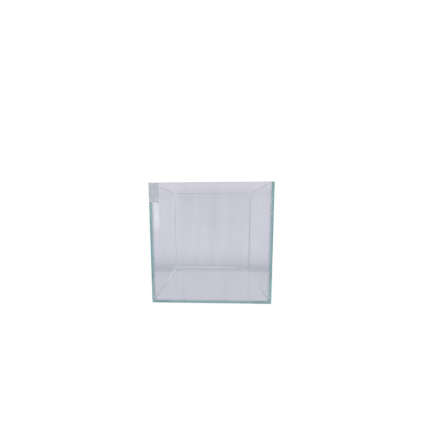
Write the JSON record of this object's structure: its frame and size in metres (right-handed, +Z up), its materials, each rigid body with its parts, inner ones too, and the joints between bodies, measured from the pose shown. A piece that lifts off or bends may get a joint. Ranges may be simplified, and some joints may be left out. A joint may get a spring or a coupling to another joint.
{
  "type": "glass aquarium tank",
  "caption": "Rimless open-top cube aquarium of clear float glass, glued edge to face with clear silicone, with green edges and a blank label film.",
  "frame": {"origin": "centre of the footprint, on the surface that the tank stands on", "axes": "+Z up towards the open top, -Y towards the front pane, +X to the right seen from the front"},
  "size_m": [0.3, 0.3001, 0.3],
  "materials": {
    "glass": "clear float glass with ground edges that look blue-green end on",
    "silicone": "clear cured silicone, slightly milky, satin",
    "label_film": "thin translucent matt film with no print"
  },
  "bodies": {
    "root": {"base_pane": "glass", "front_pane": "glass", "back_pane": "glass", "left_pane": "glass", "right_pane": "glass", "front_left_corner_bond": "silicone", "front_right_corner_bond": "silicone", "back_left_corner_bond": "silicone", "back_right_corner_bond": "silicone", "front_base_bond": "silicone", "right_base_bond": "silicone", "back_base_bond": "silicone", "left_base_bond": "silicone", "front_base_bead": "silicone", "right_base_bead": "silicone", "back_base_bead": "silicone", "left_base_bead": "silicone", "front_left_corner_bead": "silicone", "front_right_corner_bead": "silicone", "back_right_corner_bead": "silicone", "back_left_corner_bead": "silicone", "blank_label": "label_film"}
  },
  "joints": []
}
